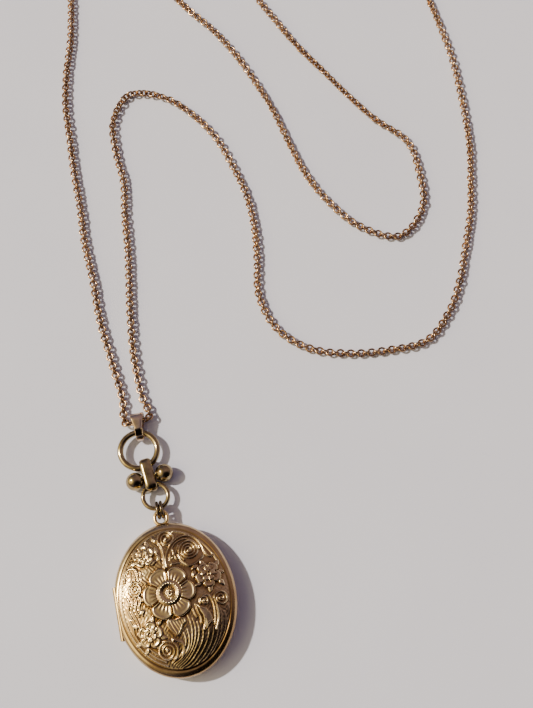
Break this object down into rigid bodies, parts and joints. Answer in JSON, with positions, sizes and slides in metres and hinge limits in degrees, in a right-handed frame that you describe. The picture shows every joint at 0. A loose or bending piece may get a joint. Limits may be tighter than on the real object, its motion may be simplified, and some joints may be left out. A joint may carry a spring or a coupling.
{
  "type": "locket",
  "caption": "Oval hinged photo locket with an embossed scroll and flower cover, hung from a ball and ring drop on a long rolo neck chain with a spring ring clasp.",
  "frame": {"origin": "centre of the locket's flat back, on the plane it rests on", "axes": "+Z out of the embossed cover, +Y along the oval towards its eye, cover hinge on the -X side"},
  "size_m": [0.1327, 0.2331, 0.0084],
  "materials": {
    "gilt_brass": "satin",
    "antique_brass": "polished",
    "rose_chain": "polished",
    "pale_gilt": "polished",
    "spring_steel": "polished",
    "paper": "matte",
    "clear_sheet": "gloss"
  },
  "bodies": {
    "neck_chain": {"chain_left": "rose_chain", "chain_right": "rose_chain", "clasp_ring": "rose_chain", "clasp_spring": "spring_steel", "clasp_eye": "rose_chain", "clasp_link": "rose_chain", "end_ring": "rose_chain"},
    "bolt": {"clasp_bolt": "pale_gilt"},
    "bail": {"bail": "pale_gilt"},
    "upper_ring": {"upper_ring": "antique_brass"},
    "strap": {"strap_link": "antique_brass"},
    "ball_bar": {"ball_bar": "antique_brass", "ball_left": "antique_brass", "ball_right": "antique_brass"},
    "lower_ring": {"lower_ring": "antique_brass"},
    "jump_rings": {"jump_ring_left": "antique_brass", "jump_ring_right": "antique_brass"},
    "locket_back": {"back_shell": "gilt_brass", "back_collar": "gilt_brass", "back_card": "paper", "back_window": "clear_sheet", "back_frame": "gilt_brass", "catch_bead": "gilt_brass", "back_knuckle": "gilt_brass", "hinge_pin": "antique_brass", "locket_eye": "gilt_brass"},
    "cover": {"front_shell": "gilt_brass", "front_collar": "gilt_brass", "front_card": "paper", "front_window": "clear_sheet", "front_frame": "gilt_brass", "cover_knuckles": "gilt_brass"}
  },
  "joints": [
    {"name": "bolt_pull", "type": "hinge", "parent": "neck_chain", "child": "bolt", "pos_m": [0.087, 0.2095, 0.00165], "axis": [0, 0, -1], "range_deg": [0, 42], "stiffness_Nm_per_rad": 0.0004, "springref_deg": -22.92, "deforming": ["clasp_spring"]},
    {"name": "bail_swing", "type": "hinge", "parent": "neck_chain", "child": "bail", "pos_m": [-0.00155, 0.0482, 0.0024], "axis": [0.9998, -0.0175, 0], "range_deg": [-40, 0]},
    {"name": "upper_ring_turn", "type": "hinge", "parent": "bail", "child": "upper_ring", "pos_m": [-0.00262, 0.04005, 0.0024], "axis": [0, 0, 1], "range_deg": [-40, 40]},
    {"name": "strap_swing", "type": "hinge", "parent": "upper_ring", "child": "strap", "pos_m": [-0.0015, 0.03528, 0.0024], "axis": [0.9735, 0.2286, 0], "range_deg": [-40, 0]},
    {"name": "ball_bar_spin", "type": "hinge", "parent": "strap", "child": "ball_bar", "pos_m": [-0.0011, 0.03225, 0.0024], "axis": [0.9962, 0.0872, 0], "continuous": true},
    {"name": "lower_ring_turn", "type": "hinge", "parent": "strap", "child": "lower_ring", "pos_m": [-0.00045, 0.0269, 0.0024], "axis": [0, 0, 1], "range_deg": [-35, 35]},
    {"name": "jump_ring_swing", "type": "hinge", "parent": "lower_ring", "child": "jump_rings", "pos_m": [0.00005, 0.02362, 0.0024], "axis": [1, 0, 0], "range_deg": [-40, 0]},
    {"name": "locket_swing", "type": "hinge", "parent": "jump_rings", "child": "locket_back", "pos_m": [-0.00005, 0.02255, 0.0034], "axis": [1, 0, 0], "range_deg": [-40, 0]},
    {"name": "cover_hinge", "type": "hinge", "parent": "locket_back", "child": "cover", "pos_m": [-0.01435, -0.0006, 0.004], "axis": [0, -1, 0], "range_deg": [0, 150]}
  ]
}
